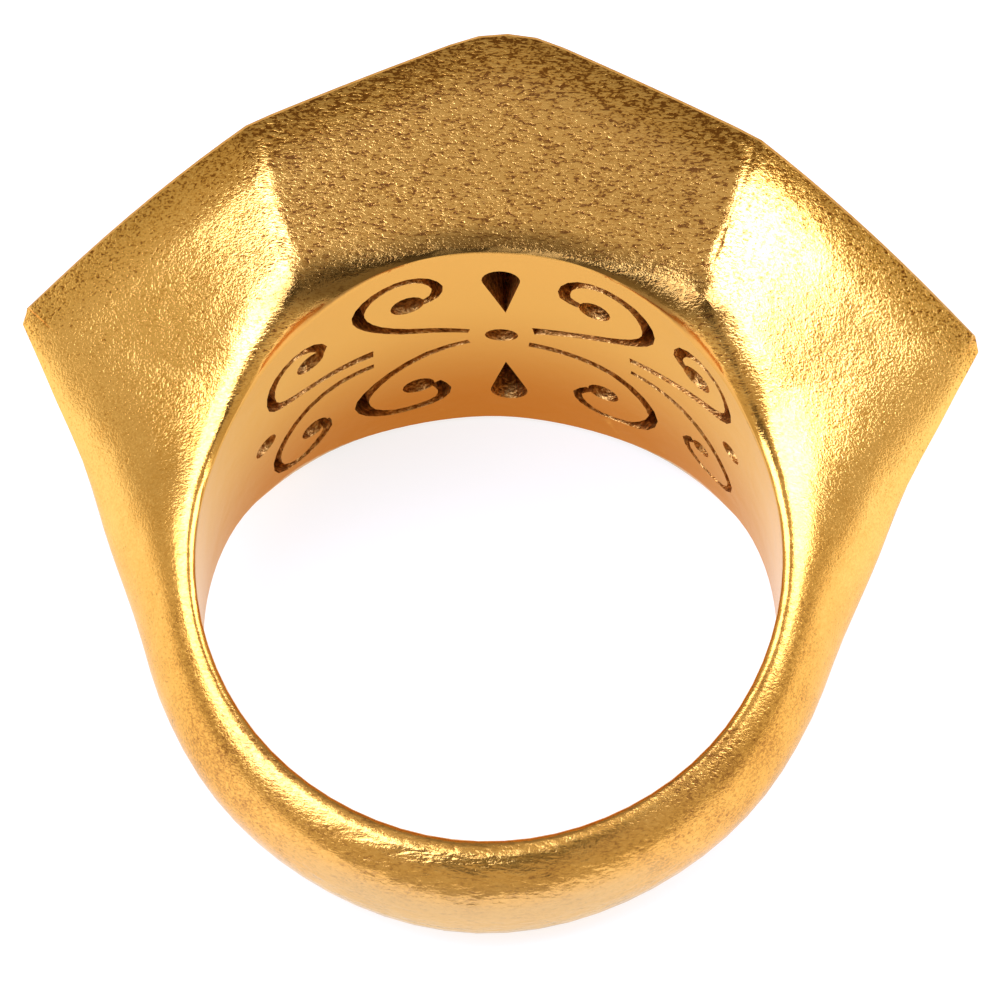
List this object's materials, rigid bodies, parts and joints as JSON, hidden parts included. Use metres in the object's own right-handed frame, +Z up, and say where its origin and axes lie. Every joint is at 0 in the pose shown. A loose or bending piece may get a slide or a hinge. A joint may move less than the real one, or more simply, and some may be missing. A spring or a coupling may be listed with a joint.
{
  "type": "micromosaic ring",
  "caption": "Finger ring with a wide six-sided gabled head, a scroll-pierced gallery under it and a mosaic of tiny glass tesserae on top, lying on its side",
  "frame": {"origin": "on the surface that the ring lies on, under the middle of its outline", "axes": "+X across the ring towards one corner of the head, +Y towards the head, +Z up, about 12 degrees off the finger hole's axis"},
  "size_m": [0.0286, 0.027, 0.0124],
  "materials": {
    "satin_gold": "satin grained gold outside, polished gold inside the finger hole",
    "mosaic_mortar": "matte fine mortar",
    "border_glass": "opaque glass, ground smooth",
    "field_glass": "opaque glass, ground smooth",
    "rosette_glass": "opaque glass, ground smooth"
  },
  "bodies": {
    "root": {"ring_body": "satin_gold", "mosaic_bed": "mosaic_mortar", "mosaic_border": "border_glass", "mosaic_field": "field_glass", "mosaic_rosette": "rosette_glass"}
  },
  "joints": []
}
